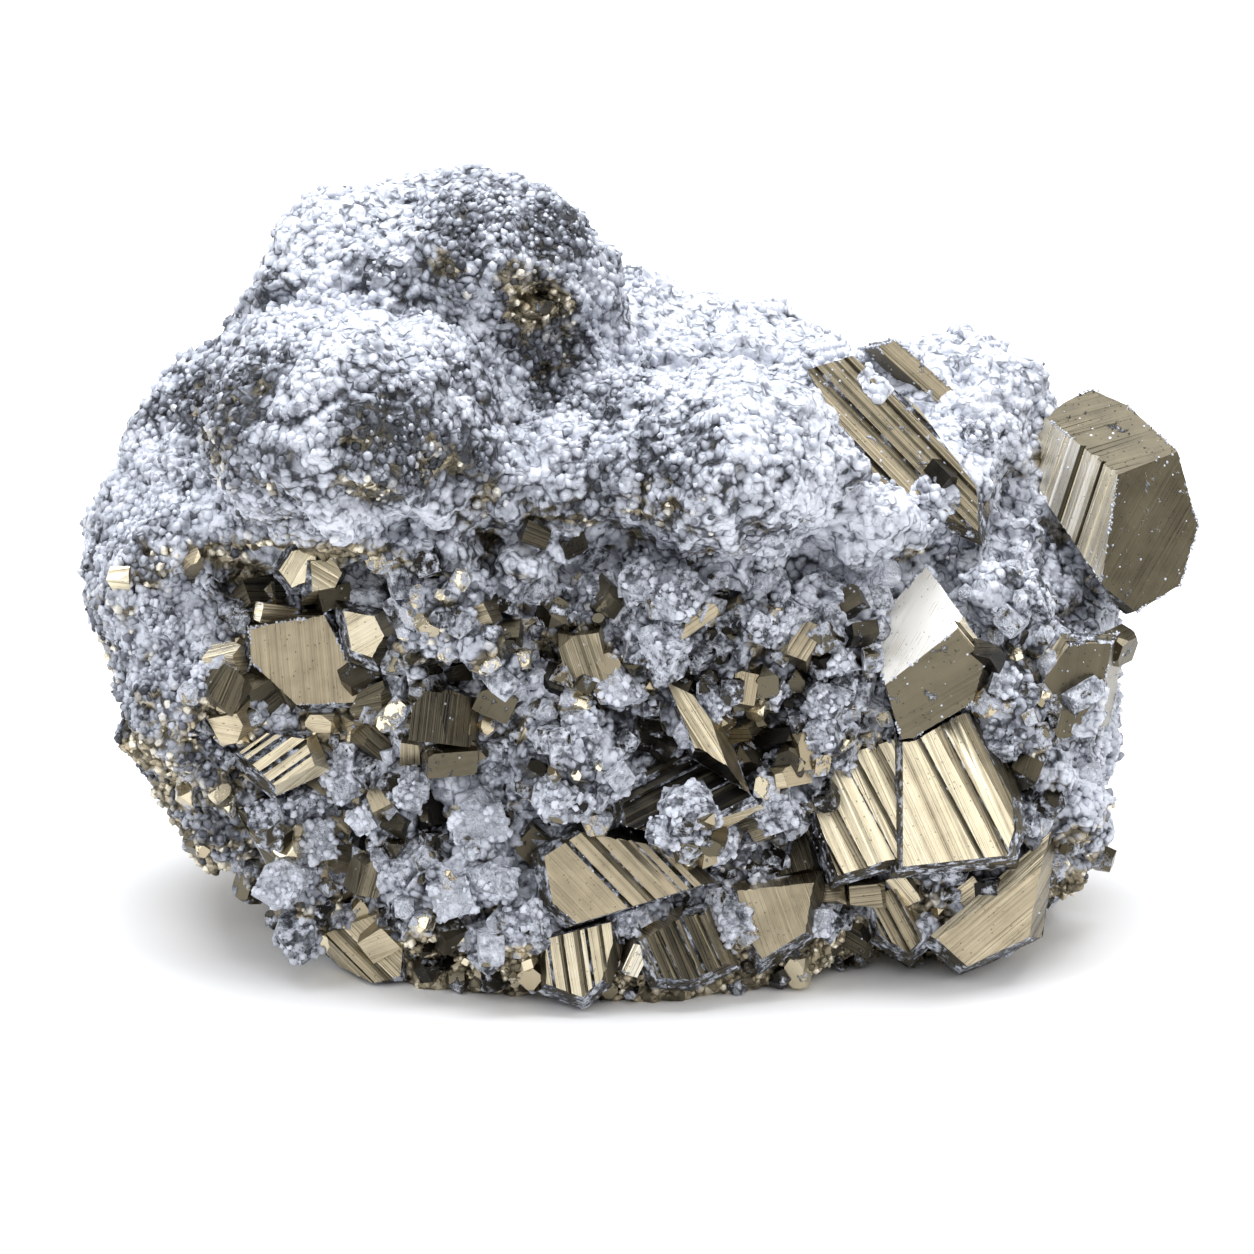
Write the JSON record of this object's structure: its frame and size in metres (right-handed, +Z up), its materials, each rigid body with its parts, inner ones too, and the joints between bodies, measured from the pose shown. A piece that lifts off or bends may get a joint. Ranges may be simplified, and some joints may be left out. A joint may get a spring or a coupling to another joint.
{
  "type": "pyrite cluster",
  "caption": "Palm-sized pyrite cluster: striated metallic crystals half sunk in a lumpy grey mass of tiny crystals, resting on a flat broken underside.",
  "frame": {"origin": "middle of the space that the cluster takes up, at its underside", "axes": "+X to the right along the length, towards the free-standing end crystal, +Y away from the crystal-bearing front, +Z up"},
  "size_m": [0.1108, 0.0706, 0.0767],
  "materials": {
    "grey_crust": "sugary grey crust of tiny crystals, blue-white on their tips",
    "bright_pyrite": "pale gold metallic crystal faces, finely striated",
    "tan_pyrite": "tan metallic crystal faces with faint striations and pits",
    "olive_pyrite": "dark olive metallic crystal faces with white specks",
    "black_pyrite": "nearly black metallic crystal faces, striated"
  },
  "bodies": {
    "root": {"matrix": "grey_crust", "end_crystal": "olive_pyrite", "lower_end_crystal": "olive_pyrite", "arrow_crystal": "tan_pyrite", "bright_striated_crystal": "bright_pyrite", "front_wedge_crystal": "tan_pyrite", "black_striated_crystal": "black_pyrite", "window_crystal": "tan_pyrite", "gold_twin": "bright_pyrite", "small_gold_crystal": "bright_pyrite", "left_gold_crystal": "bright_pyrite", "left_plate_crystal": "tan_pyrite", "low_left_prism": "tan_pyrite", "low_middle_crystal": "bright_pyrite", "low_dark_crystal": "olive_pyrite", "low_tan_crystal": "tan_pyrite", "low_ribbed_prism": "tan_pyrite", "low_right_wedge": "tan_pyrite", "ridge_blade": "olive_pyrite", "upper_blade": "olive_pyrite", "brown_crystal": "tan_pyrite"}
  },
  "joints": []
}
